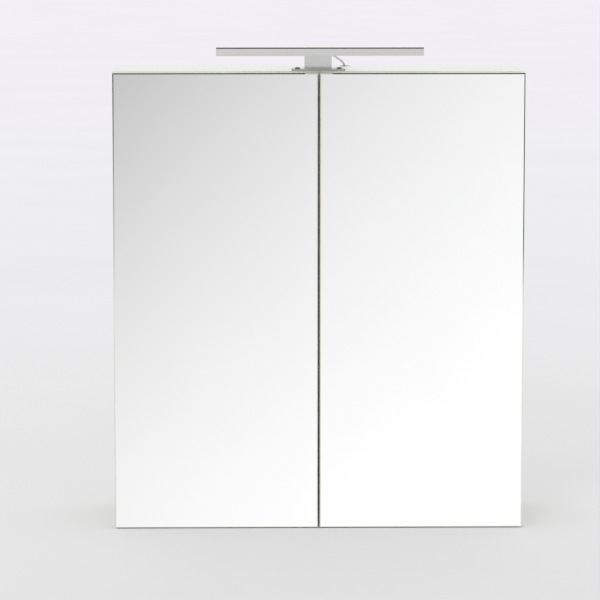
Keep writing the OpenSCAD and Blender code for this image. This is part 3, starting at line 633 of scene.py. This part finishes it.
def painted_falloff_floor():
    """Seamless paper with painted shade: darker near the cabinet and paler the farther it is from it, in
    place of the studio light's fall-off.
    """
    made = surface("painted_falloff_floor", (0.98, 0.98, 0.98), (1, 1, 1), (0.85, 0.95), 300, 0.0001,
                   blotch=1.5, Specular_IOR_Level=0.0)
    tree = made.node_tree
    shade = tree.nodes["Principled BSDF"]
    grain = shade.inputs["Base Color"].links[0].from_socket
    # painted shade: the paper's colour darkens towards the heart in front of the cabinet, standing in for
    # the light's fall-off
    place = add(tree, "ShaderNodeNewGeometry")
    reach = add(tree, "ShaderNodeVectorMath", operation="DISTANCE")
    reach.inputs[1].default_value = (*FLOOR_SHADE_HEART, FLOOR_Z)
    tree.links.new(place.outputs["Position"], reach.inputs[0])
    away = add(tree, "ShaderNodeMath", operation="ADD")
    away.inputs[1].default_value = FLOOR_SHADE_REACH
    tree.links.new(reach.outputs["Value"], away.inputs[0])
    near = add(tree, "ShaderNodeMath", operation="DIVIDE")
    near.inputs[0].default_value = FLOOR_SHADE_REACH
    tree.links.new(away.outputs[0], near.inputs[1])
    tones = add(tree, "ShaderNodeValToRGB")
    ramped = tones.color_ramp
    while len(ramped.elements) < len(FLOOR_SHADE_TONES):
        ramped.elements.new(0.5)
    for stop, (share, tone) in zip(ramped.elements, FLOOR_SHADE_TONES):
        stop.position = share
        stop.color = rgba(tone)
    tree.links.new(near.outputs[0], tones.inputs[0])
    mixed = add(tree, "ShaderNodeMix", data_type="RGBA", blend_type="MULTIPLY")
    mixed.inputs[0].default_value = 1.0
    tree.links.new(tones.outputs["Color"], mixed.inputs[6])
    tree.links.new(grain, mixed.inputs[7])
    tree.links.new(mixed.outputs[2], shade.inputs["Base Color"])
    return made


def floor():
    """A large sheet under the cabinet that the mirrors don't show."""
    mesh = mesh_of("floor", lambda shape: bmesh.ops.create_grid(
        shape, x_segments=1, y_segments=1, size=FLOOR_SIZE / 2,
        matrix=Matrix.Translation((0, 0, FLOOR_Z))))
    made = bpy.data.objects.new("floor", mesh)
    mesh.materials.append(painted_falloff_floor())
    made.visible_glossy = False
    scene.collection.objects.link(made)


def sky(colour, strength):
    world = bpy.data.worlds.new("studio")
    scene.world = world
    world.use_nodes = True
    shade = world.node_tree.nodes["Background"]
    shade.inputs[0].default_value = rgba(colour)
    shade.inputs[1].default_value = strength


def softbox(name, at, towards, side, power):
    """A square soft light facing a point, unseen by the camera."""
    data = bpy.data.lights.new(name, "AREA")
    data.shape = "SQUARE"
    data.size = side
    data.energy = power
    made = bpy.data.objects.new(name, data)
    made.location = at
    made.rotation_euler = (Vector(towards) - Vector(at)).to_track_quat("-Z", "Y").to_euler()
    made.visible_camera = False
    scene.collection.objects.link(made)


def ramp_glow(name, weights, start, span, low, high, bend=1.0):
    """A glow whose strength goes from low to high along a direction, given as weights on x, y
    and z. It is low where their sum is start, and bend above 1 lets it rise sooner."""
    made = bpy.data.materials.new(name)
    made.use_nodes = True
    tree = made.node_tree
    tree.nodes.clear()
    out = add(tree, "ShaderNodeOutputMaterial")
    glow = add(tree, "ShaderNodeEmission")
    tree.links.new(glow.outputs[0], out.inputs["Surface"])
    place = add(tree, "ShaderNodeNewGeometry")
    along = add(tree, "ShaderNodeVectorMath", operation="DOT_PRODUCT")
    along.inputs[1].default_value = weights
    tree.links.new(place.outputs["Position"], along.inputs[0])
    left = add(tree, "ShaderNodeMapRange")
    for socket, value in (("From Min", start), ("From Max", start + span), ("To Min", 1), ("To Max", 0)):
        left.inputs[socket].default_value = value
    tree.links.new(along.outputs["Value"], left.inputs["Value"])
    bent = add(tree, "ShaderNodeMath", operation="POWER")
    bent.inputs[1].default_value = bend
    tree.links.new(left.outputs[0], bent.inputs[0])
    strength = add(tree, "ShaderNodeMath", operation="MULTIPLY_ADD")
    strength.inputs[1].default_value = low - high
    strength.inputs[2].default_value = high
    tree.links.new(bent.outputs[0], strength.inputs[0])
    tree.links.new(strength.outputs[0], glow.inputs["Strength"])
    return made


def card(name, low, high, finish):
    """A flat card that only reflections show: it lights nothing, and the camera looks past it."""
    mesh = mesh_of(name, lambda shape: box_of(shape, Vector(low), Vector(high)))
    mesh.materials.append(finish)
    made = bpy.data.objects.new(name, mesh)
    made.visible_camera = False
    made.visible_diffuse = False
    made.visible_transmission = False
    made.visible_shadow = False
    scene.collection.objects.link(made)


CARD_Y = -0.62               # the graded card stands just past an open door
CARD_ENDS = (-1.05, 1.15)
CARD_FOOT = FLOOR_Z - 0.3
CARD_TOP = 0.035             # it ends just over what the mirrors show
CARD_GREY = 0.61             # at its upper left corner
CARD_WHITE = 1.09            # makes up for what the silvering swallows
CARD_START = -0.341          # x minus z at that corner of what the mirrors show
CARD_SPAN = 1.139            # and how much it grows to the lower right one
CARD_BEND = 1.6
BAR_CARD_REACH = 0.7         # the light bar's card, to both sides
BAR_CARD_HEIGHT = 0.3
BAR_CARD_TONES = (1.0, 0.86)
BAR_CARD_RAMP = (-0.35, 0.7)
FLAG_DARK = 0.04
FLAG_X = 3.0                 # dark flags stand this far to both sides
FLAG_DEPTH = (-1.3, 0.9)
FLAG_HEIGHT = 2.2
FLAG_FOOT = 0.9              # glow at the floor
FLAG_FADES = {-1: 0.5, 1: 0.13}    # height over which each darkens from there
TOP_FLAG = ((-1.2, -1.0, 2.4), (1.2, 0.5, 2.4 + MM))


def cards():
    """A graded card before the doors for the mirrors, a second one over it for the light bar, and
    dark flags at the sides and overhead that draw a dark line along the polished edges."""
    grade = ramp_glow("graded_card", (1, 0, -1), CARD_START, CARD_SPAN, CARD_GREY, CARD_WHITE, CARD_BEND)
    card("graded_card", (CARD_ENDS[0], CARD_Y, CARD_FOOT), (CARD_ENDS[1], CARD_Y + MM, CARD_TOP), grade)
    pale = ramp_glow("bar_card", (1, 0, 0), *BAR_CARD_RAMP, *BAR_CARD_TONES)
    card("bar_card", (-BAR_CARD_REACH, CARD_Y, CARD_TOP),
         (BAR_CARD_REACH, CARD_Y + MM, CARD_TOP + BAR_CARD_HEIGHT), pale)
    for side, fade in FLAG_FADES.items():
        x = side * FLAG_X
        glow = ramp_glow("side_flag", (0, 0, 1), FLOOR_Z, fade, FLAG_FOOT, FLAG_DARK)
        card("side_flag", (x, FLAG_DEPTH[0], FLOOR_Z), (x + MM, FLAG_DEPTH[1], FLOOR_Z + FLAG_HEIGHT), glow)
    card("top_flag", *TOP_FLAG, ramp_glow("top_flag", (0, 0, 1), FLOOR_Z, 1, FLAG_DARK, FLAG_DARK))


KEY_AT = (-3.2, -8.4, 4.8)
KEY_TOWARDS = (0, -0.1, -0.3)
KEY_SIDE = 2.4
KEY_POWER = 90

floor()
sky((1, 1, 1), 1.0)
softbox("key", KEY_AT, KEY_TOWARDS, KEY_SIDE, KEY_POWER)
cards()
